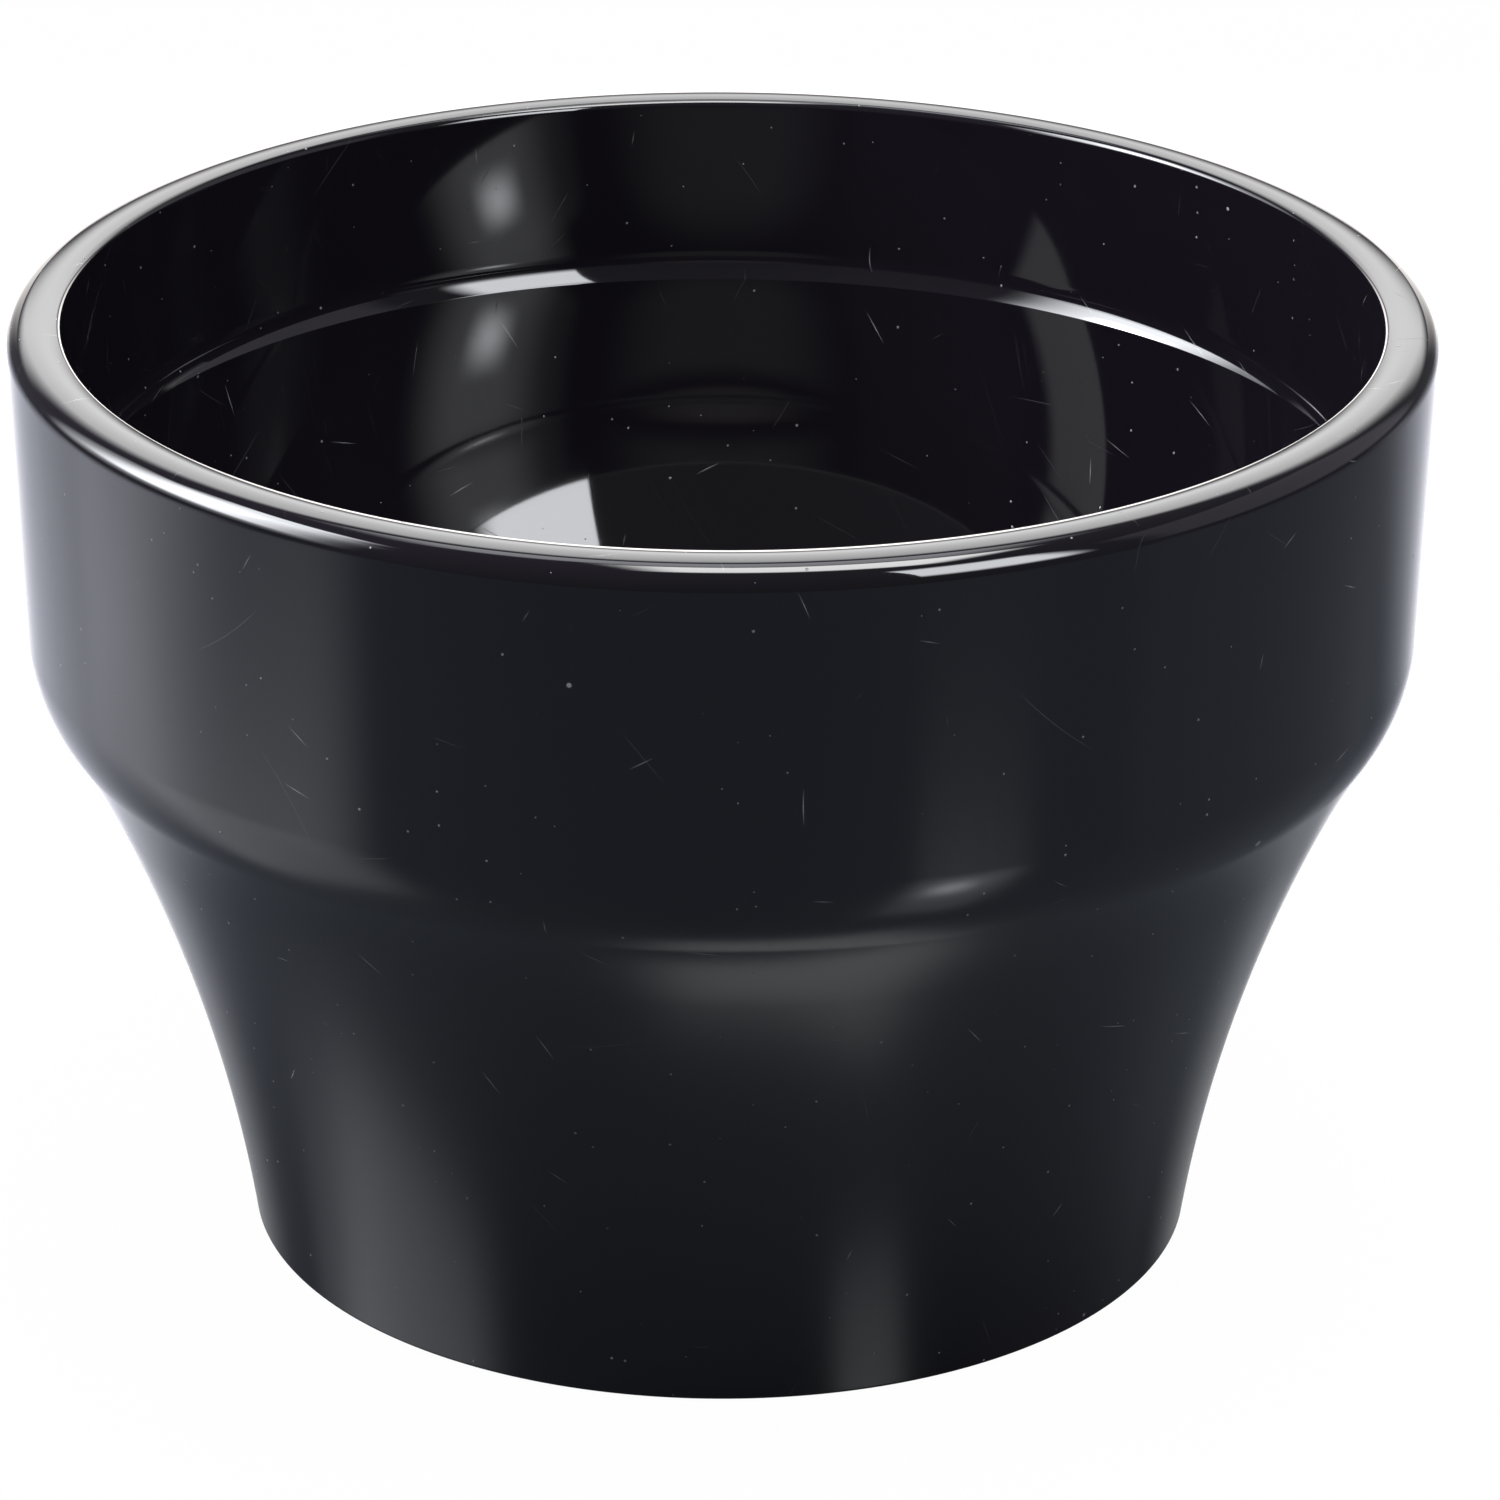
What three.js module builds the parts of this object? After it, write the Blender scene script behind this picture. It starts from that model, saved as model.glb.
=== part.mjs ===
// Hair color mixing bowl: a thick one-piece gloss moulding with a stepped inside wall, a round
// bottom and a hollow foot, standing on a soft ring that is pressed into a groove under the foot.
// Millimetres, +Z up, origin at the centre of the surface that the bowl stands on.

import * as THREE from 'three';

// ---- driving dimensions -------------------------------------------------------------------

const RING_PROUD = 0.4; // how far the soft ring holds the foot off the table
const BODY_HEIGHT = 82.1; // foot to the top of the rim
const FOOT_RADIUS = 40.77;

// Outside wall, from the foot up. Angles are degrees from vertical, positive leaning outwards.
const FOOT_LEAN = 8.1;
const LOWER_FLARE = { radius: 143, lean: 25.6 }; // long hollow curve above the foot
const UPPER_FLARE = { radius: 53.7, lean: 33.4 }; // tighter hollow curve below the shoulder
const SHOULDER = { radius: 12.7, lean: 2.14 }; // round shoulder, up to the tapered band

// Rim and inside wall
const RIM_OUTER_FILLET = 1.9;
const RIM_CROWN = { radius: 8.5, outside: 8, inside: 9 }; // flat arc over the top, with its end slopes
const RIM_INNER_FILLET = 0.6;
const UPPER_WALL_DRAFT = 0.4; // degrees
const LEDGE_TOP_Z = 67.7; // above the foot: where the upper inside wall starts to curve in
const LEDGE_HOLLOW = { radius: 5, turn: 30 }; // soft hollow curve that ends in a crisp edge
const LEDGE_EDGE_FILLET = 0.2;

// Round inside of the bowl, below the ledge
const ROUND_WALL_RADIUS = 59.5;
const ROUND_WALL_START = 2.7; // degrees from vertical, just below the ledge
const ROUND_WALL_END = 56.9; // degrees turned when the floor blend takes over
const FLOOR_BLEND_RADIUS = 30;

// Underside: a recess whose roof runs parallel to the inside of the bowl
const FLOOR_THICKNESS = 4.2;
const FLOOR_FLAT_RADIUS = 12;
const FLOOR_HEIGHT = 13.2; // inside floor above the foot, where the round wall's arcs end
const RECESS_WALL_TURN = 1.5; // degrees of the round wall that the recess roof follows
const RECESS_CORNER_FILLET = 2;
const RECESS_WALL_DRAFT = 2; // degrees
const FOOT_EDGE_FILLET = 0.4;

// Groove under the foot and the soft ring in it
const GROOVE_INNER_RADIUS = 37.1;
const GROOVE_OUTER_RADIUS = 39.7;
const GROOVE_DEPTH = 1.6;
const RING_GAP = 0.3; // clearance between the ring and the groove
const RING_CORNER_FILLET = 0.35;

const SEGMENTS = 64; // facets round the bowl
const CHORD_ERROR = 0.05; // how far a facet of an arc may lie inside the true curve

const BLACK_GLOSS = { color: 0x0a0a0c, roughness: 0.08, metalness: 0 };
const BLACK_RUBBER = { color: 0x161616, roughness: 0.75, metalness: 0 };

// ---- section outline ----------------------------------------------------------------------

// A section outline drawn as a path of straight runs and tangent arcs.
// Headings are in degrees: 0 points away from the axis, 90 points up.
class Outline {
  constructor(r, z, heading) {
    this.r = r;
    this.z = z;
    this.heading = heading;
    this.points = [new THREE.Vector2(r, z)];
  }

  // Straight run to a point.
  lineTo(r, z) {
    this.r = r;
    this.z = z;
    this.points.push(new THREE.Vector2(r, z));
    return this;
  }

  // Straight run along the heading until the given height.
  lineToHeight(z) {
    const slope = Math.tan(THREE.MathUtils.degToRad(90 - this.heading));
    return this.lineTo(this.r + (z - this.z) * slope, z);
  }

  // Straight run along a level heading until the given radius.
  lineToRadius(r) {
    return this.lineTo(r, this.z);
  }

  // Arc tangent to the heading, turning anticlockwise for a positive angle.
  turn(radius, degrees) {
    const side = Math.sign(degrees);
    const start = THREE.MathUtils.degToRad(this.heading);
    const sweep = THREE.MathUtils.degToRad(degrees);
    const centreR = this.r - side * radius * Math.sin(start);
    const centreZ = this.z + side * radius * Math.cos(start);
    const widestStep = 2 * Math.acos(1 - CHORD_ERROR / radius);
    const steps = Math.max(2, Math.ceil(Math.abs(sweep) / widestStep));
    for (let i = 1; i <= steps; i++) {
      const angle = start + (sweep * i) / steps;
      const r = centreR + side * radius * Math.sin(angle);
      const z = centreZ - side * radius * Math.cos(angle);
      this.lineTo(r, z);
    }
    this.heading += degrees;
    return this;
  }
}

// Turns a section outline about the Z axis.
function revolve(name, points, look) {
  const geometry = new THREE.LatheGeometry(points, SEGMENTS);
  geometry.rotateX(Math.PI / 2);
  const mesh = new THREE.Mesh(geometry, new THREE.MeshStandardMaterial(look));
  mesh.name = name;
  return mesh;
}

// ---- bowl body ----------------------------------------------------------------------------

const FOOT_Z = RING_PROUD;
const RIM_Z = FOOT_Z + BODY_HEIGHT;
const ROOF_Z = FOOT_Z + FLOOR_HEIGHT - FLOOR_THICKNESS;

// Roof and side of the recess under the bowl, from the axis out to the foot.
function recessOutline() {
  const roofTurn = 90 - ROUND_WALL_END;
  const down = RECESS_WALL_DRAFT - 90;
  const cornerTurn = down - (roofTurn + RECESS_WALL_TURN);
  return new Outline(0, ROOF_Z, 0)
    .lineToRadius(FLOOR_FLAT_RADIUS)
    .turn(FLOOR_BLEND_RADIUS + FLOOR_THICKNESS, roofTurn)
    .turn(ROUND_WALL_RADIUS + FLOOR_THICKNESS, RECESS_WALL_TURN)
    .turn(RECESS_CORNER_FILLET, cornerTurn)
    .lineToHeight(FOOT_Z + FOOT_EDGE_FILLET)
    .turn(FOOT_EDGE_FILLET, -down);
}

// The foot's land with the ring groove cut up into it.
function addFoot(outline) {
  return outline
    .lineTo(GROOVE_INNER_RADIUS, FOOT_Z)
    .lineTo(GROOVE_INNER_RADIUS, FOOT_Z + GROOVE_DEPTH)
    .lineTo(GROOVE_OUTER_RADIUS, FOOT_Z + GROOVE_DEPTH)
    .lineTo(GROOVE_OUTER_RADIUS, FOOT_Z)
    .lineTo(FOOT_RADIUS - FOOT_EDGE_FILLET, FOOT_Z)
    .turn(FOOT_EDGE_FILLET, 90 - FOOT_LEAN);
}

// Outside wall up to the rim, then over the rim.
function addOutsideWall(outline) {
  const bandLean = THREE.MathUtils.degToRad(SHOULDER.lean);
  const level = Math.cos(THREE.MathUtils.degToRad(RIM_CROWN.outside));
  const filletHeight = RIM_OUTER_FILLET * (level + Math.sin(bandLean));
  const crownHeight = RIM_CROWN.radius * (1 - level);
  return outline
    .turn(LOWER_FLARE.radius, FOOT_LEAN - LOWER_FLARE.lean)
    .turn(UPPER_FLARE.radius, LOWER_FLARE.lean - UPPER_FLARE.lean)
    .turn(SHOULDER.radius, UPPER_FLARE.lean - SHOULDER.lean)
    .lineToHeight(RIM_Z - crownHeight - filletHeight)
    .turn(RIM_OUTER_FILLET, 90 + SHOULDER.lean - RIM_CROWN.outside)
    .turn(RIM_CROWN.radius, RIM_CROWN.outside + RIM_CROWN.inside)
    .turn(RIM_INNER_FILLET, 90 - RIM_CROWN.inside - UPPER_WALL_DRAFT);
}

// Upper inside wall, ledge, round lower wall and floor.
function addInsideWall(outline) {
  const edgeTurn = UPPER_WALL_DRAFT + LEDGE_HOLLOW.turn - ROUND_WALL_START;
  return outline
    .lineToHeight(FOOT_Z + LEDGE_TOP_Z)
    .turn(LEDGE_HOLLOW.radius, -LEDGE_HOLLOW.turn)
    .turn(LEDGE_EDGE_FILLET, edgeTurn)
    .turn(ROUND_WALL_RADIUS, ROUND_WALL_START - ROUND_WALL_END)
    .turn(FLOOR_BLEND_RADIUS, ROUND_WALL_END - 90)
    .lineToRadius(0);
}

const bodyOutline = addInsideWall(addOutsideWall(addFoot(recessOutline())));

// ---- non-slip ring ------------------------------------------------------------------------

// A solid ring with rounded lower corners, a little clear of the groove all round.
function ringOutline() {
  const inner = GROOVE_INNER_RADIUS + RING_GAP;
  const outer = GROOVE_OUTER_RADIUS - RING_GAP;
  const top = FOOT_Z + GROOVE_DEPTH - RING_GAP;
  return new Outline(inner, top, -90)
    .lineToHeight(RING_CORNER_FILLET)
    .turn(RING_CORNER_FILLET, 90)
    .lineToRadius(outer - RING_CORNER_FILLET)
    .turn(RING_CORNER_FILLET, 90)
    .lineTo(outer, top)
    .lineTo(inner, top);
}

const bowl = new THREE.Group();
bowl.add(revolve('bowl_body', bodyOutline.points, BLACK_GLOSS));
bowl.add(revolve('non_slip_ring', ringOutline().points, BLACK_RUBBER));

export default bowl;
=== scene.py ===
"""Looks of the hair color bowl: a gloss black moulding on a rubber ring, in a small studio."""

import math

import bpy
import numpy as np
from mathutils import Matrix, Vector


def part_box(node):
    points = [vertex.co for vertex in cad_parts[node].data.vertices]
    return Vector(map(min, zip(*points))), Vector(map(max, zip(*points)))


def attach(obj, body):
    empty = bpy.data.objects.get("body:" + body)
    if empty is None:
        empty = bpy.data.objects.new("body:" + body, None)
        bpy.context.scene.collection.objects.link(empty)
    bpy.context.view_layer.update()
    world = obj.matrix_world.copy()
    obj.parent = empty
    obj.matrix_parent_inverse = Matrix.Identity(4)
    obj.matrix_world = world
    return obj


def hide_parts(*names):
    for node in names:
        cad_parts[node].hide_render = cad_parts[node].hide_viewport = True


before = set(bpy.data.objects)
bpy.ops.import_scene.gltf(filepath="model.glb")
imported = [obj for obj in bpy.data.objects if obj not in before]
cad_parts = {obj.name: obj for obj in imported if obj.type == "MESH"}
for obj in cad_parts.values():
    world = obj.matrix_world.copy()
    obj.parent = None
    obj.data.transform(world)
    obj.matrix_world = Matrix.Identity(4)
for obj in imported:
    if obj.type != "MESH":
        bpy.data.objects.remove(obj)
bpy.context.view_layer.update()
MM = 0.001

# ---- sizes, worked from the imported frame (millimetres) --------------------------------------

body_low, body_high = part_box("bowl_body")
ring_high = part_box("non_slip_ring")[1]
FOOT_Z = body_low.z / MM
RIM_Z = body_high.z / MM
RING_OUTER = ring_high.x / MM
RING_TOP = ring_high.z / MM
RING_WIDTH = 2.0
RING_INNER = RING_OUTER - RING_WIDTH
RING_CORNER = 0.35
RING_GAP = 0.3  # between the ring and its groove, all round
GROOVE_INNER = RING_INNER - RING_GAP
GROOVE_OUTER = RING_OUTER + RING_GAP
GROOVE_ROOF = RING_TOP + RING_GAP

# Section of the moulding. Angles are degrees from vertical, positive leaning outwards.
FOOT_RADIUS = 40.77
FOOT_LEAN = 8.1
LOWER_FLARE = (143, 25.6)  # radius of a hollow curve, and the lean at its top
UPPER_FLARE = (53.7, 33.4)
SHOULDER = (12.7, 2.14)  # radius of the rounded shoulder, and the lean of the band above it
RIM_OUTER_FILLET = 1.9
RIM_CROWN = (8.5, 8, 9)  # flat arc over the top: radius, slope outside and slope inside
RIM_INNER_FILLET = 0.6
UPPER_WALL_DRAFT = 0.4
LEDGE_TOP = 67.7  # above the foot, as FLOOR_HEIGHT is
LEDGE_HOLLOW = (5, 30)  # radius of the hollow curve, and how far it turns
LEDGE_EDGE_FILLET = 0.2
ROUND_WALL = 59.5  # radius of the round inside
ROUND_WALL_START = 2.7
ROUND_WALL_END = 56.9
FLOOR_BLEND = 30  # radius between the round inside and the flat floor
FLOOR_THICKNESS = 4.2
FLOOR_FLAT = 11
FLOOR_HEIGHT = 13.2
RECESS_TURN = 1.5
RECESS_CORNER = 2
RECESS_DRAFT = 2
FOOT_EDGE = 0.4

# Small moulding details that only the finer mesh carries
GROOVE_FILLET = 0.15
GATE_RADIUS = 1.4
GATE_DROP = 0.35
GATE_FILLET = 0.2
GATE_TURN = 80
EJECTOR_COUNT = 4
EJECTOR_RADIUS = 2.6
EJECTOR_CIRCLE = 23.5  # radius that the marks stand on
EJECTOR_DEPTH = 0.14
EJECTOR_EDGE = 0.45
RIB_GROOVES = 2  # fine grooves in the ring's underside, which leave three ribs
RIB_RUN = 0.1
RIB_GROOVE = 0.14

# How fine the meshes are
BODY_SEGMENTS = 256
RING_SEGMENTS = 160
LINE_STEP = 1.8  # longest piece of a straight run
ARC_STEP = 0.99  # longest piece of an arc
TURN_STEP = 6  # most degrees that one piece of an arc turns
FLAT_SLOPE = 0.8  # a strip less steep than this is unwrapped from above
WALL_UV_START = 0.2  # metres: keeps the unwrapped walls clear of the flat parts


class Outline:
    """A section drawn as a path. Headings are degrees: 0 points away from the axis, 90 up."""

    def __init__(self, r, z, heading):
        self.r, self.z, self.heading = r, z, heading
        self.points = [(r, z, heading)]

    def add(self, r, z):
        self.r, self.z = r, z
        self.points.append((r, z, self.heading))

    def line(self, length):
        """Straight run along the heading."""
        steps = max(1, math.ceil(abs(length) / LINE_STEP))
        r0, z0, a = self.r, self.z, math.radians(self.heading)
        for i in range(1, steps + 1):
            run = length * i / steps
            self.add(r0 + run * math.cos(a), z0 + run * math.sin(a))
        return self

    def to_height(self, z):
        return self.line((z - self.z) / math.sin(math.radians(self.heading)))

    def to_radius(self, r):
        return self.line((r - self.r) / math.cos(math.radians(self.heading)))

    def turn(self, radius, degrees):
        """Arc tangent to the heading, anticlockwise for a positive angle."""
        side, start = math.copysign(1, degrees), math.radians(self.heading)
        first = self.heading
        centre_r = self.r - side * radius * math.sin(start)
        centre_z = self.z + side * radius * math.cos(start)
        run = radius * math.radians(abs(degrees))
        steps = max(3, math.ceil(abs(degrees) / TURN_STEP), math.ceil(run / ARC_STEP))
        for i in range(1, steps + 1):
            self.heading = first + degrees * i / steps
            a = math.radians(self.heading)
            self.add(centre_r + side * radius * math.sin(a), centre_z - side * radius * math.cos(a))
        return self


def add_object(name, data):
    obj = bpy.data.objects.new(name, data)
    bpy.context.scene.collection.objects.link(obj)
    return obj


def body_outline():
    """The section from the gate mark under the bowl, out over the rim, to the inside floor."""
    roof_z = FOOT_Z + FLOOR_HEIGHT - FLOOR_THICKNESS
    roof_turn = 90 - ROUND_WALL_END
    down = RECESS_DRAFT - 90
    o = Outline(0, roof_z - GATE_DROP, 0)
    o.to_radius(GATE_RADIUS - GATE_FILLET).turn(GATE_FILLET, GATE_TURN)
    o.to_height(roof_z - GATE_FILLET * (1 - math.cos(math.radians(GATE_TURN))))
    o.turn(GATE_FILLET, -GATE_TURN).to_radius(FLOOR_FLAT)
    # roof and side of the recess under the bowl
    o.turn(FLOOR_BLEND + FLOOR_THICKNESS, roof_turn).turn(ROUND_WALL + FLOOR_THICKNESS, RECESS_TURN)
    o.turn(RECESS_CORNER, down - roof_turn - RECESS_TURN)
    o.to_height(FOOT_Z + FOOT_EDGE * (1 - math.sin(math.radians(RECESS_DRAFT))))
    o.turn(FOOT_EDGE, -down)
    # the groove for the ring
    o.to_radius(GROOVE_INNER - GROOVE_FILLET).turn(GROOVE_FILLET, 90)
    o.to_height(GROOVE_ROOF - GROOVE_FILLET).turn(GROOVE_FILLET, -90)
    o.to_radius(GROOVE_OUTER - GROOVE_FILLET).turn(GROOVE_FILLET, -90)
    o.to_height(FOOT_Z + GROOVE_FILLET).turn(GROOVE_FILLET, 90)
    # outside wall and rim
    o.to_radius(FOOT_RADIUS - FOOT_EDGE).turn(FOOT_EDGE, 90 - FOOT_LEAN)
    o.turn(LOWER_FLARE[0], FOOT_LEAN - LOWER_FLARE[1])
    o.turn(UPPER_FLARE[0], LOWER_FLARE[1] - UPPER_FLARE[1])
    o.turn(SHOULDER[0], UPPER_FLARE[1] - SHOULDER[1])
    lean = math.radians(SHOULDER[1])
    crown, out_slope, in_slope = RIM_CROWN
    level = math.cos(math.radians(out_slope))
    o.to_height(RIM_Z - crown * (1 - level) - RIM_OUTER_FILLET * (level + math.sin(lean)))
    o.turn(RIM_OUTER_FILLET, 90 + SHOULDER[1] - out_slope).turn(crown, out_slope + in_slope)
    o.turn(RIM_INNER_FILLET, 90 - in_slope - UPPER_WALL_DRAFT)
    # inside wall and floor
    o.to_height(FOOT_Z + LEDGE_TOP).turn(LEDGE_HOLLOW[0], -LEDGE_HOLLOW[1])
    o.turn(LEDGE_EDGE_FILLET, UPPER_WALL_DRAFT + LEDGE_HOLLOW[1] - ROUND_WALL_START)
    o.turn(ROUND_WALL, ROUND_WALL_START - ROUND_WALL_END).turn(FLOOR_BLEND, ROUND_WALL_END - 90)
    o.to_radius(0)
    return o.points


def ring_outline():
    """The section of the rubber ring: rounded corners, and fine ribs on the face it stands on."""
    corner = RING_CORNER
    o = Outline(RING_INNER, RING_TOP - corner, -90)
    o.to_height(corner).turn(corner, 90)
    for _ in range(RIB_GROOVES):
        o.to_radius(o.r + RIB_RUN)
        o.turn(RIB_GROOVE, 60).turn(RIB_GROOVE, -120).turn(RIB_GROOVE, 60)
    o.to_radius(RING_OUTER - corner).turn(corner, 90)
    o.to_height(RING_TOP - corner).turn(corner, 90)
    o.to_radius(RING_INNER + corner).turn(corner, 90)
    return o.points


def lathe(name, outline, segments, closed=False):
    """A mesh turned about Z from a section, with a real-size UV map in metres.

    The points and their exact normals are returned too, for finish_shape to put in.
    """
    pts = np.array(outline)
    if closed:
        pts = pts[:-1]
    r, z = pts[:, 0] * MM, pts[:, 1] * MM
    heading = np.radians(pts[:, 2])
    run = np.concatenate([[0], np.cumsum(np.hypot(np.diff(r), np.diff(z)))])
    angle = np.arange(segments) * 2 * math.pi / segments
    verts, normals, rows = [], [], []
    for i in range(len(pts)):
        start = len(verts)
        nr, nz = math.sin(heading[i]), -math.cos(heading[i])
        if r[i] < 1e-7:
            verts.append((0.0, 0.0, z[i]))
            normals.append((0.0, 0.0, math.copysign(1, nz)))
            rows.append([start] * segments)
            continue
        for a in angle:
            verts.append((r[i] * math.cos(a), r[i] * math.sin(a), z[i]))
            normals.append((nr * math.cos(a), nr * math.sin(a), nz))
        rows.append(list(range(start, start + segments)))
    faces, uvs = [], []
    pairs = [(i, i + 1) for i in range(len(pts) - 1)] + ([(len(pts) - 1, 0)] if closed else [])
    for i, j in pairs:
        level = abs(z[j] - z[i]) < FLAT_SLOPE * abs(r[j] - r[i])
        for s in range(segments):
            t = (s + 1) % segments
            corners = [(i, s, s), (i, t, s + 1), (j, t, s + 1), (j, s, s)]
            quad = []
            for row, col, turn_at in corners:
                v = rows[row][col]
                if quad and v in [q[0] for q in quad]:
                    continue
                a = turn_at * 2 * math.pi / segments
                flat = (r[row] * math.cos(a), r[row] * math.sin(a))
                wall = (r[row] * (a - math.pi), run[row] + WALL_UV_START)
                quad.append((v, flat if level else wall))
            faces.append([q[0] for q in quad])
            uvs.extend(q[1] for q in quad)
    mesh = bpy.data.meshes.new(name)
    mesh.from_pydata(verts, [], faces)
    layer = mesh.uv_layers.new(name="real_size")
    layer.data.foreach_set("uv", np.array(uvs, np.float32).ravel())
    mesh.polygons.foreach_set("use_smooth", [True] * len(faces))
    return add_object(name, mesh), np.array(verts), np.array(normals)


def press_ejector_marks(verts, normals):
    """Round ejector marks, a touch proud of the roof of the recess under the bowl."""
    facing_down, above_groove = normals[:, 2] < -0.5, verts[:, 2] > (GROOVE_ROOF + 2) * MM
    under = facing_down & above_groove
    for k in range(EJECTOR_COUNT):
        a = math.radians(45 + 360 / EJECTOR_COUNT * k)
        centre = np.array([math.cos(a), math.sin(a)]) * EJECTOR_CIRCLE * MM
        away = verts[:, :2] - centre
        d = np.hypot(away[:, 0], away[:, 1])
        t = np.clip((EJECTOR_RADIUS * MM - d) / (EJECTOR_EDGE * MM), 0, 1)
        drop = EJECTOR_DEPTH * MM * t * t * (3 - 2 * t)
        slope = EJECTOR_DEPTH / EJECTOR_EDGE * 6 * t * (1 - t)
        verts[under, 2] -= drop[under]
        tilt = (away / np.maximum(d, 1e-9)[:, None]) * slope[:, None]
        normals[under, :2] += tilt[under]
    normals /= np.linalg.norm(normals, axis=1)[:, None]


def finish_shape(obj, verts, normals):
    obj.data.vertices.foreach_set("co", verts.astype(np.float32).ravel())
    obj.data.update()
    obj.data.normals_split_custom_set_from_vertices([tuple(n) for n in normals])


bowl, bowl_verts, bowl_normals = lathe("gloss_bowl", body_outline(), BODY_SEGMENTS)
press_ejector_marks(bowl_verts, bowl_normals)
finish_shape(bowl, bowl_verts, bowl_normals)

ring, ring_verts, ring_normals = lathe(
    "rubber_ring", ring_outline(), RING_SEGMENTS, closed=True
)
finish_shape(ring, ring_verts, ring_normals)


# ---- materials (metres) ---------------------------------------------------------------------

PLASTIC_DARK = (0.0026, 0.0022, 0.0033, 1.0)
PLASTIC_PALE = (0.0036, 0.0031, 0.0044, 1.0)
SCRATCH_TONE = (0.30, 0.31, 0.34, 1.0)
DUST_TONE = (0.42, 0.42, 0.44, 1.0)
RUBBER_TONE = (0.012, 0.012, 0.013, 1.0)
RUBBER_DUST_TONE = (0.075, 0.073, 0.070, 1.0)


class Nodes:
    """A short way to write a node tree."""

    def __init__(self, tree):
        self.tree = tree
        tree.nodes.clear()

    def add(self, kind, inputs=(), **settings):
        node = self.tree.nodes.new(kind)
        for key, value in settings.items():
            setattr(node, key, value)
        for key, value in dict(inputs).items():
            self.put(node.inputs[key], value)
        return node

    def put(self, socket, value):
        if isinstance(value, bpy.types.NodeSocket):
            self.tree.links.new(value, socket)
        else:
            socket.default_value = value

    def math(self, operation, *values, clamp=False):
        node = self.tree.nodes.new("ShaderNodeMath")
        node.operation, node.use_clamp = operation, clamp
        for i, value in enumerate(values):
            self.put(node.inputs[i], value)
        return node.outputs[0]

    def vector(self, operation, *values, out=0):
        node = self.tree.nodes.new("ShaderNodeVectorMath")
        node.operation = operation
        for i, value in enumerate(values):
            self.put(node.inputs[i], value)
        return node.outputs[out]

    def ramp(self, value, low, high, to_low=0.0, to_high=1.0):
        """Smooth step of a value between low and high."""
        node = self.add(
            "ShaderNodeMapRange",
            {0: value, 1: low, 2: high, 3: to_low, 4: to_high},
            interpolation_type="SMOOTHSTEP",
        )
        return node.outputs[0]

    def mix(self, share, first, second):
        """Colour between the first and the second, by share."""
        node = self.add("ShaderNodeMix", data_type="RGBA")
        self.put(node.inputs[0], share)
        self.put(node.inputs[6], first)
        self.put(node.inputs[7], second)
        return node.outputs[2]

    def noise(self, where, scale, detail=2.0, roughness=0.5):
        return self.add(
            "ShaderNodeTexNoise",
            {"Vector": where, "Scale": scale, "Detail": detail, "Roughness": roughness},
        ).outputs["Fac"]

    def stretch(self, where, scale):
        return self.add("ShaderNodeMapping", {"Vector": where, "Scale": scale}).outputs[0]

    def total(self, values):
        found = values[0]
        for value in values[1:]:
            found = self.math("ADD", found, value)
        return found

    def surface(self, colour, roughness, height):
        """The material's output: plastic or rubber with this bump height in metres."""
        bump = self.add("ShaderNodeBump", {"Strength": 1.0, "Distance": 1.0, "Height": height})
        shader = self.add(
            "ShaderNodeBsdfPrincipled",
            {"Base Color": colour, "Roughness": roughness, "IOR": 1.5, "Normal": bump.outputs[0]},
        )
        self.add("ShaderNodeOutputMaterial", {"Surface": shader.outputs[0]})


def new_material(name):
    material = bpy.data.materials.new(name)
    material.use_nodes = True
    return material, Nodes(material.node_tree)


def specks(n, where, cell, radius, keep):
    """Round dust specks: a share of the cells, keep, has one each."""
    cells = n.add(
        "ShaderNodeTexVoronoi", {"Vector": where, "Scale": 1 / cell}, voronoi_dimensions="3D"
    )
    random = n.add("ShaderNodeSeparateColor", {0: cells.outputs["Color"]})
    there = n.math("LESS_THAN", random.outputs[0], keep)
    size = n.math("MULTIPLY_ADD", random.outputs[1], radius / cell * 0.8, radius / cell * 0.35)
    near = n.math("SUBTRACT", 1.0, n.math("DIVIDE", cells.outputs["Distance"], size), clamp=True)
    return n.math("MULTIPLY", n.ramp(near, 0.0, 0.5), there)


def scratches(n, uv, cell, width, keep, offset, longest):
    """Hairlines: a share of the surface's cells, keep, has one short, slightly bent line each.

    The longest is a share of the cell. The offset gives each set its own places.
    """
    moved = n.vector("ADD", uv, (offset, offset * 0.7, 0.0))
    cells = n.add(
        "ShaderNodeTexVoronoi", {"Vector": moved, "Scale": 1 / cell}, voronoi_dimensions="2D"
    )
    random = n.add("ShaderNodeSeparateColor", {0: cells.outputs["Color"]})
    there = n.math("LESS_THAN", random.outputs[0], keep)
    angle = n.math("MULTIPLY", random.outputs[1], math.tau)
    delta = n.vector("SUBTRACT", moved, cells.outputs["Position"])
    cosine, sine = n.math("COSINE", angle), n.math("SINE", angle)
    along_dir = n.add("ShaderNodeCombineXYZ", {0: cosine, 1: sine})
    cross_dir = n.add("ShaderNodeCombineXYZ", {0: n.math("MULTIPLY", sine, -1.0), 1: cosine})
    along = n.vector("DOT_PRODUCT", delta, along_dir.outputs[0], out="Value")
    across = n.vector("DOT_PRODUCT", delta, cross_dir.outputs[0], out="Value")
    bow = n.math("MULTIPLY_ADD", random.outputs[2], 40.0, -20.0)
    bend = n.math("MULTIPLY", n.math("POWER", along, 2.0), bow)
    off = n.math("ABSOLUTE", n.math("ADD", across, bend))
    length = n.math("MULTIPLY_ADD", random.outputs[2], cell * longest, cell * 0.08)
    line = n.ramp(off, width * 0.3, width, 1.0, 0.0)
    ends = n.ramp(n.math("SUBTRACT", length, n.math("ABSOLUTE", along)), 0.0, cell * 0.2)
    return n.math("MULTIPLY", n.math("MULTIPLY", line, ends), there)


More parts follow.
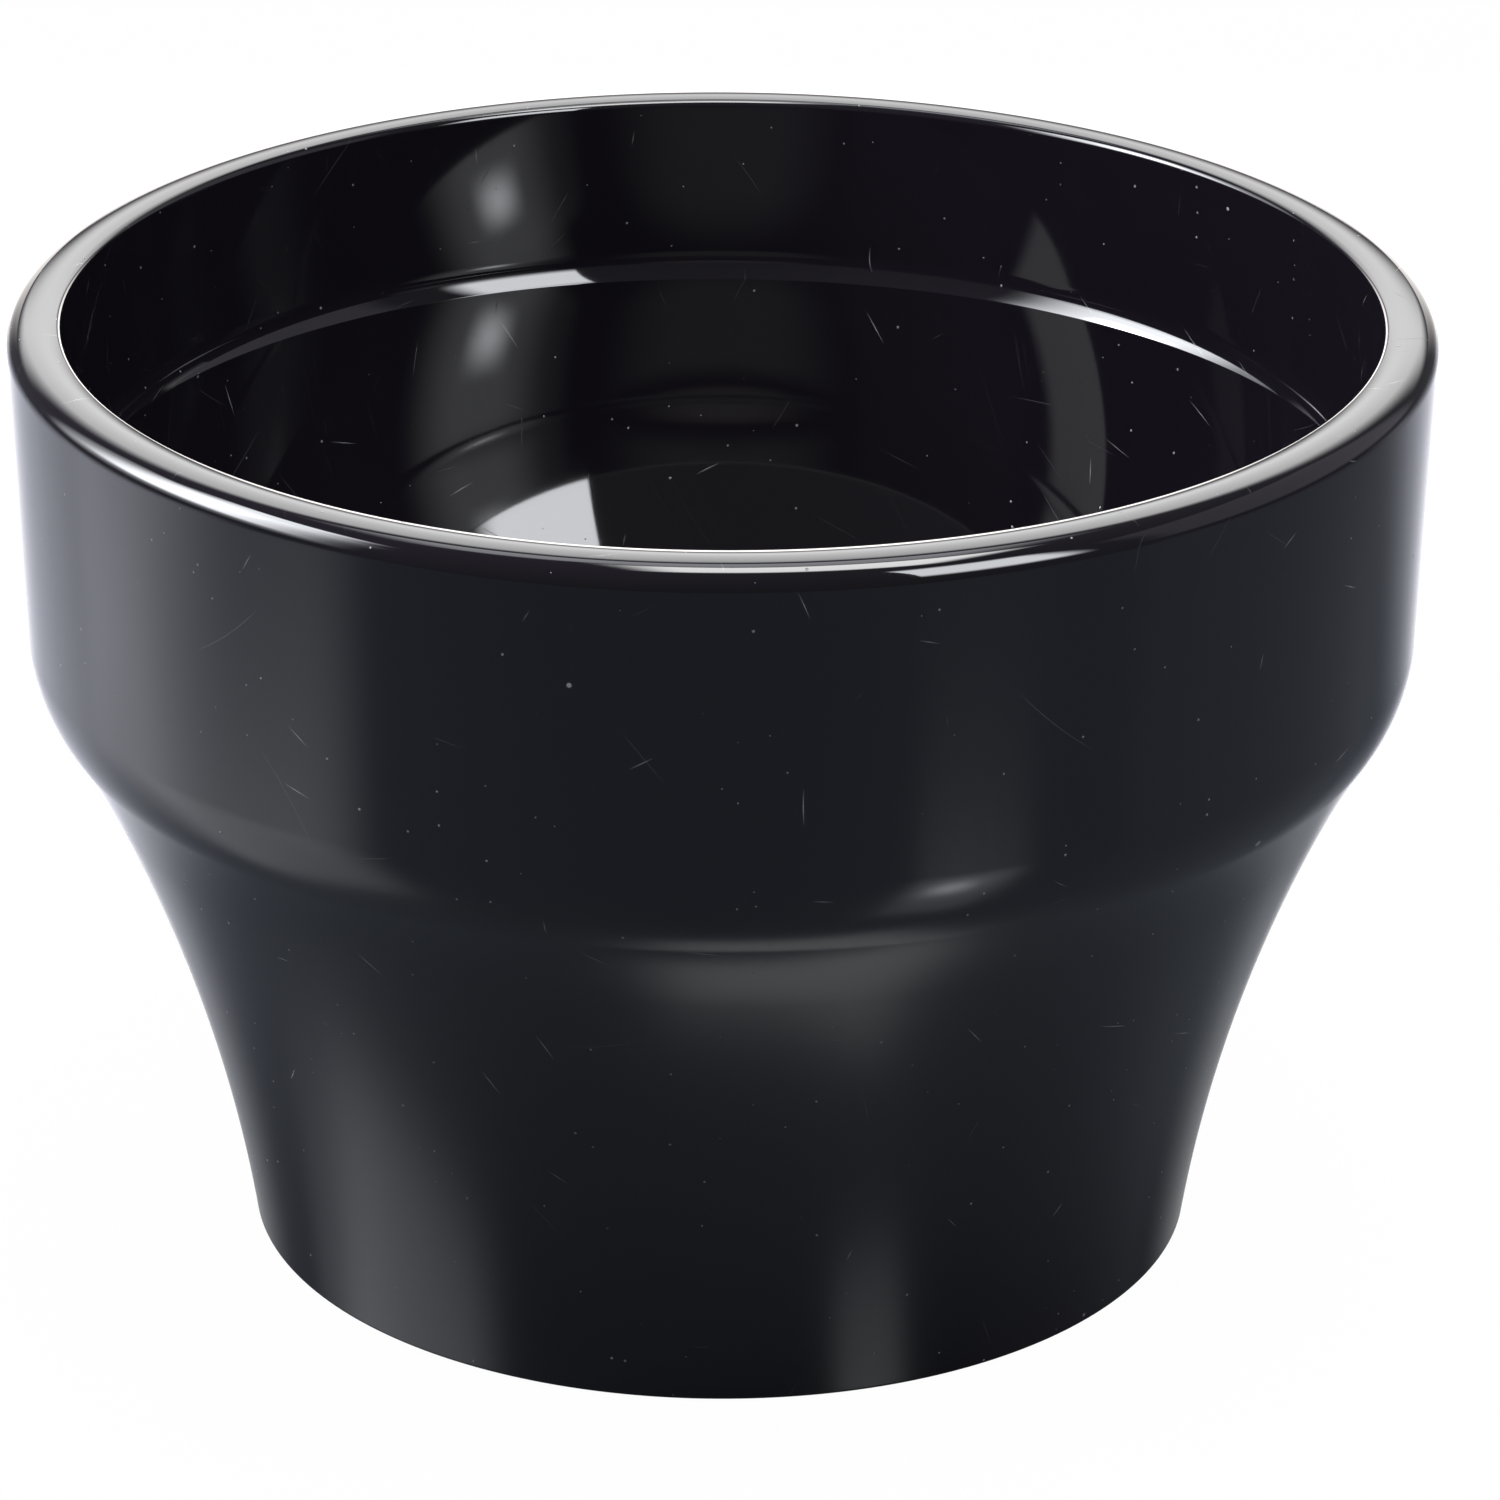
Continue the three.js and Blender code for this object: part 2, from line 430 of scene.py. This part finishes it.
def gloss_black():
    """Near-black gloss plastic with dust, lint, hairlines, rubbed patches and a little haze."""
    material, n = new_material("gloss_black_plastic")
    place = n.add("ShaderNodeTexCoord")
    solid, uv = place.outputs["Object"], place.outputs["UV"]

    fine = specks(n, solid, cell=0.0013, radius=0.00014, keep=0.3)
    coarse = specks(n, solid, cell=0.0062, radius=0.00034, keep=0.16)
    dust = n.math("MAXIMUM", n.math("MULTIPLY", fine, 0.7), coarse)
    lint = scratches(n, uv, cell=0.011, width=0.00006, keep=0.5, offset=0.31, longest=0.1)
    hairs = n.math(
        "MAXIMUM",
        scratches(n, uv, cell=0.017, width=0.00005, keep=0.35, offset=0.0, longest=0.3),
        scratches(n, uv, cell=0.008, width=0.00004, keep=0.3, offset=0.113, longest=0.25),
    )
    rub = n.noise(n.stretch(uv, (2600.0, 55.0, 1.0)), 1.0, 3.0, 0.6)
    rub = n.math("MULTIPLY", n.ramp(rub, 0.6, 0.78), n.ramp(n.noise(solid, 45.0), 0.45, 0.7))
    haze = n.noise(solid, 38.0, 4.0, 0.6)
    wave = n.noise(solid, 55.0, 1.0, 0.3)
    grain = n.noise(solid, 900.0, 2.0, 0.5)

    worn = n.math("MAXIMUM", hairs, n.math("MULTIPLY", rub, 0.25))
    littered = n.math("MAXIMUM", dust, lint)
    colour = n.mix(haze, PLASTIC_DARK, PLASTIC_PALE)
    colour = n.mix(n.math("MULTIPLY", worn, 0.05), colour, SCRATCH_TONE)
    colour = n.mix(n.math("MULTIPLY", littered, 0.28), colour, DUST_TONE)
    rough = n.total(
        [
            n.math("MULTIPLY_ADD", haze, 0.03, 0.025),
            n.math("MULTIPLY", rub, 0.10),
            n.math("MULTIPLY", hairs, 0.12),
            n.math("MULTIPLY", dust, 0.5),
        ]
    )
    height = n.total(
        [
            n.math("MULTIPLY", wave, 1.4e-5),
            n.math("MULTIPLY", grain, 1.0e-7),
            n.math("MULTIPLY", hairs, -2e-6),
            n.math("MULTIPLY", dust, 2e-5),
        ]
    )
    n.surface(colour, rough, height)
    return material


def black_rubber():
    """Matt rubber with fine pores and a pale bloom."""
    material, n = new_material("black_rubber")
    solid = n.add("ShaderNodeTexCoord").outputs["Object"]
    cloud = n.noise(solid, 160.0, 4.0, 0.6)
    pores = n.noise(solid, 2600.0, 3.0, 0.7)
    dust = specks(n, solid, cell=0.0012, radius=0.00014, keep=0.3)
    bloom = n.math("MAXIMUM", dust, n.ramp(cloud, 0.55, 0.8, 0.0, 0.35))
    rough = n.math("MULTIPLY_ADD", cloud, 0.2, 0.62)
    height = n.total([n.math("MULTIPLY", pores, 2.5e-5), n.math("MULTIPLY", cloud, 4e-5)])
    n.surface(n.mix(bloom, RUBBER_TONE, RUBBER_DUST_TONE), rough, height)
    return material


for piece, material, node, slot in (
    (bowl, gloss_black(), "bowl_body", "black_gloss_plastic"),
    (ring, black_rubber(), "non_slip_ring", "black_rubber"),
):
    piece.data.materials.append(material)
    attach(piece, "root")
    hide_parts(node)


# ---- studio (metres) ------------------------------------------------------------------------

TABLE_FRONT_TONE = (0.080, 0.092, 0.108, 1.0)
# Painted light: the back of the table is painted paler, as a pool of light on it, not its own
# colour.
TABLE_BACK_PAINTED_LIGHT = (0.42, 0.43, 0.48, 1.0)
PAINTED_LIGHT_SLANT = -0.4  # the table turns from its front tone to painted light across a line that slants by this much, further forward on the left
TABLE_LOW, TABLE_HIGH = (-1.2, -0.24), (1.2, 0.6)
TABLE_Z = -0.0001
HOLE_RADIUS = 0.99 * FOOT_RADIUS * MM
FLOOR_REACH = 4
FLOOR_TONE = (0.01, 0.01, 0.01, 1.0)
FLOOR_GLOW = (0.985, 0.985, 0.985, 1.0)
COOL = (0.94, 0.96, 1.0)
NEUTRAL = (1.0, 1.0, 1.0)
WARM = (1.0, 0.95, 0.92)
LILAC = (0.95, 0.9, 1.0)


def sheet_of(name, low, high, z):
    """A flat rectangle with the given low and high corners."""
    mesh = bpy.data.meshes.new(name)
    (x0, y0), (x1, y1) = low, high
    mesh.from_pydata([(x0, y0, z), (x1, y0, z), (x1, y1, z), (x0, y1, z)], [], [(0, 1, 2, 3)])
    obj = add_object(name, mesh)
    return obj


def dark_table():
    """The satin table that the gloss mirrors.

    It is paler at the back, a painted pool of light that reaches further forward on the left, and
    ends soon in front. It is open under the foot, for views from below.
    """
    obj = sheet_of("table", TABLE_LOW, TABLE_HIGH, TABLE_Z)
    material, n = new_material("satin_table")
    where = n.add("ShaderNodeTexCoord").outputs["Object"]
    spot = n.add("ShaderNodeSeparateXYZ", {0: where})
    towards_back = n.math("MULTIPLY_ADD", spot.outputs[0], PAINTED_LIGHT_SLANT, spot.outputs[1])
    # Painted light: paler towards the back and the left, a pool of light painted on the table.
    tone_with_painted_light = n.mix(n.ramp(towards_back, 0.01, 0.12), TABLE_FRONT_TONE, TABLE_BACK_PAINTED_LIGHT)
    satin = n.add(
        "ShaderNodeBsdfPrincipled", {"Base Color": tone_with_painted_light, "Roughness": 0.2, "IOR": 1.6}
    )
    hole = n.math("LESS_THAN", n.vector("LENGTH", where, out="Value"), HOLE_RADIUS)
    clear = n.add("ShaderNodeBsdfTransparent")
    both = n.add("ShaderNodeMixShader", {0: hole, 1: satin.outputs[0], 2: clear.outputs[0]})
    n.add("ShaderNodeOutputMaterial", {"Surface": both.outputs[0]})
    obj.data.materials.append(material)
    obj.visible_camera = False
    return obj


def pale_floor():
    """The plain, nearly white floor that the camera sees. It is clear from below."""
    obj = sheet_of("floor", (-FLOOR_REACH, -FLOOR_REACH), (FLOOR_REACH, FLOOR_REACH), 0.0)
    material, n = new_material("pale_floor")
    paper = n.add("ShaderNodeBsdfDiffuse", {"Color": FLOOR_TONE})
    glow = n.add("ShaderNodeEmission", {"Color": FLOOR_GLOW, "Strength": 1.0})
    lit = n.add("ShaderNodeAddShader", {0: paper.outputs[0], 1: glow.outputs[0]})
    below = n.add("ShaderNodeNewGeometry").outputs["Backfacing"]
    clear = n.add("ShaderNodeBsdfTransparent")
    both = n.add("ShaderNodeMixShader", {0: below, 1: lit.outputs[0], 2: clear.outputs[0]})
    n.add("ShaderNodeOutputMaterial", {"Surface": both.outputs[0]})
    obj.data.materials.append(material)
    obj.visible_glossy = obj.visible_diffuse = obj.visible_transmission = False
    obj.visible_shadow = False


def only_lights(lamp, *objects):
    """The lamp shines on these objects alone, as behind a flag in a studio."""
    group = bpy.data.collections.new(lamp.name + "_lit")
    for obj in objects:
        group.objects.link(obj)
    lamp.light_linking.receiver_collection = group


def panel(name, place, aim, size, radiance, colour, soft):
    """A rectangular softbox.

    Its glow fades towards each edge. Soft gives the shares of the half width and half height that
    each fade takes: ((left, right), (bottom, top)) for an upright box.
    """
    lamp = bpy.data.lights.new(name, "AREA")
    lamp.shape = "RECTANGLE"
    lamp.size, lamp.size_y = size
    lamp.energy = radiance * math.pi * lamp.size * lamp.size_y
    lamp.color = colour
    lamp.use_nodes = True
    n = Nodes(lamp.node_tree)
    across = n.add("ShaderNodeNewGeometry").outputs["Parametric"]
    spot = n.add("ShaderNodeSeparateXYZ", {0: across})
    fade = 1.0
    for axis, shares in enumerate(soft):
        start = spot.outputs[axis]
        for edge, share in zip((start, n.math("SUBTRACT", 1.0, start)), shares):
            if share:
                fade = n.math("MULTIPLY", fade, n.ramp(edge, 0.0, share / 2))
    glow = n.add("ShaderNodeEmission", {"Strength": fade})
    n.add("ShaderNodeOutputLight", {"Surface": glow.outputs[0]})
    obj = add_object(name, lamp)
    obj.location = place
    obj.rotation_euler = (Vector(place) - Vector(aim)).to_track_quat("Z", "Y").to_euler()
    obj.visible_camera = False
    return obj


def upright(name, azimuth, distance, width, low, high, radiance, colour, soft):
    """A softbox beside the bowl, upright between two heights; the azimuth is in degrees."""
    a = math.radians(azimuth)
    middle = (low + high) / 2
    place = (distance * math.cos(a), distance * math.sin(a), middle)
    return panel(name, place, (0, 0, middle), (width, high - low), radiance, colour, soft)


table = dark_table()
pale_floor()

# name, azimuth, distance, width, low, high, radiance, colour, soft edges
left_box = upright(
    "left_softbox", 183, 0.42, 0.46, 0.12, 0.58, 18, COOL, ((0.8, 0.8), (0.3, 0.2))
)
left_low = upright(
    "left_low", 186, 0.42, 0.5, 0.10, 0.5, 9.5, COOL, ((0.6, 0.6), (0.4, 0.4))
)
upright("left_wall", 180, 0.55, 0.8, 0.05, 0.6, 3.5, COOL, ((0.4, 0.4), (0.5, 0.3)))
left_lamp = upright(
    "left_lamp", 182, 0.41, 0.17, 0.23, 0.37, 125, COOL, ((1.0, 1.0), (1.0, 1.0))
)
right_box = upright(
    "front_right_softbox", -47.5, 0.42, 0.21, 0.13, 0.52, 15, COOL, ((0.0, 0.5), (0.4, 0.6))
)
right_low = upright(
    "front_right_low", -50, 0.42, 0.16, 0.13, 0.5, 11, COOL, ((0.3, 0.5), (0.3, 0.3))
)
right_lamp = upright(
    "front_right_lamp", -52, 0.41, 0.08, 0.18, 0.28, 95, COOL, ((1.0, 1.0), (1.0, 1.0))
)
# name, place, aim, size, radiance, colour, soft edges
over_bowl, over_back = (0.08, -0.08), (-0.02, 0.20)
panel(
    "overhead_softbox", (*over_bowl, 0.6), (*over_bowl, 0), (0.36, 0.32),
    16, NEUTRAL, ((0.4, 0.4), (0.4, 0.4)),
)
panel(
    "overhead_back", (*over_back, 0.6), (*over_back, 0), (0.5, 0.3),
    3.6, COOL, ((0.5, 0.5), (0.4, 0.4)),
)
upright("back_low", 90, 0.32, 0.5, 0.0, 0.16, 5.0, WARM, ((0.9, 0.9), (0.0, 0.3)))
upright("back_softbox", 90, 0.32, 0.7, 0.15, 0.5, 3.5, NEUTRAL, ((0.8, 0.8), (0.3, 1.0)))
upright("right_wall", 10, 0.9, 1.3, 0.02, 0.95, 0.4, LILAC, ((0.3, 0.3), (0.3, 0.1)))
panel(
    "underside_softbox", (0.16, -0.12, -0.4), (0, 0, 0), (0.5, 0.4),
    9, NEUTRAL, ((0.6, 0.6), (0.6, 0.6)),
)
for lamp in (left_box, left_lamp, right_box):
    only_lights(lamp, bowl, ring)
for lamp in (left_low, right_low, right_lamp):
    only_lights(lamp, table)

# The camera sees a white page behind the bowl, and everything else a dim room.
world = bpy.data.worlds.new("studio")
world.use_nodes = True
bpy.context.scene.world = world
sky = Nodes(world.node_tree)
room = sky.add("ShaderNodeBackground", {"Color": (0.13, 0.13, 0.14, 1.0)})
page = sky.add("ShaderNodeBackground", {"Color": (1.0, 1.0, 1.0, 1.0)})
seen = sky.add("ShaderNodeLightPath").outputs["Is Camera Ray"]
both = sky.add("ShaderNodeMixShader", {0: seen, 1: room.outputs[0], 2: page.outputs[0]})
sky.add("ShaderNodeOutputWorld", {"Surface": both.outputs[0]})

# ---- camera (metres, degrees) ---------------------------------------------------------------

CAMERA_DISTANCE = 0.6456
CAMERA_ELEVATION = 23.05
CAMERA_ROLL = 0.30
CAMERA_LENS, CAMERA_SENSOR = 180, 36  # millimetres
AIM = Vector((2.46 * MM, 0, 41.92 * MM))

camera_data = bpy.data.cameras.new("camera")
camera_data.lens, camera_data.sensor_width = CAMERA_LENS, CAMERA_SENSOR
camera_data.clip_start, camera_data.clip_end = 0.05, 20
camera = add_object("camera", camera_data)
up = math.radians(CAMERA_ELEVATION)
place = AIM + Vector((0, -math.cos(up), math.sin(up))) * CAMERA_DISTANCE
tilt = Matrix.Rotation(math.pi / 2 - up, 4, "X")
roll = Matrix.Rotation(math.radians(CAMERA_ROLL), 4, "Z")
camera.matrix_world = Matrix.Translation(place) @ (tilt @ roll)
bpy.context.scene.camera = camera
bpy.context.scene.view_settings.view_transform = "Standard"
